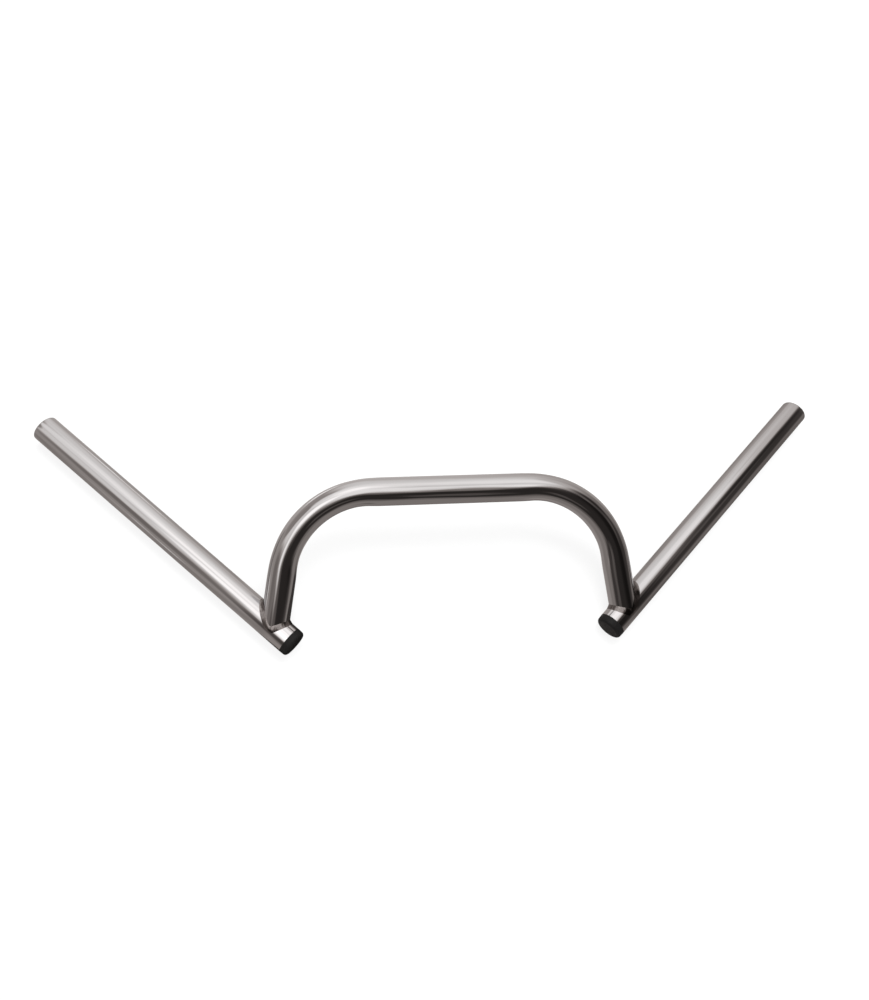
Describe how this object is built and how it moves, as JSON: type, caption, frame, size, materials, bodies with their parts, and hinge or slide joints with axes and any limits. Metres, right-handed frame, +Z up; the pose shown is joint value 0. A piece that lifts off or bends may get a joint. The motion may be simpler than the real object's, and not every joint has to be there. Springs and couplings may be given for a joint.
{
  "type": "motorcycle handlebar",
  "caption": "Chromed steel drop handlebar: a bent centre hoop clamps to the fork yokes and carries two swept grip tubes, welded on, with black plugs in their inner ends.",
  "frame": {"origin": "middle of the clamp section, on the tube's axis", "axes": "+X along the clamp section to the rider's left, +Y to the rider, +Z up; both grip tubes lie level, in one plane parallel to XY"},
  "size_m": [0.6586, 0.2023, 0.0674],
  "materials": {
    "chrome_hoop": "polished chrome plate",
    "chrome_grip": "polished chrome plate",
    "chrome_weld": "chrome plate over a dressed weld, a little rough",
    "black_plug": "moulded, satin black"
  },
  "bodies": {
    "root": {"centre_hoop": "chrome_hoop", "left_grip_tube": "chrome_grip", "right_grip_tube": "chrome_grip", "left_weld_bead": "chrome_weld", "right_weld_bead": "chrome_weld", "left_end_plug": "black_plug", "right_end_plug": "black_plug"}
  },
  "joints": []
}
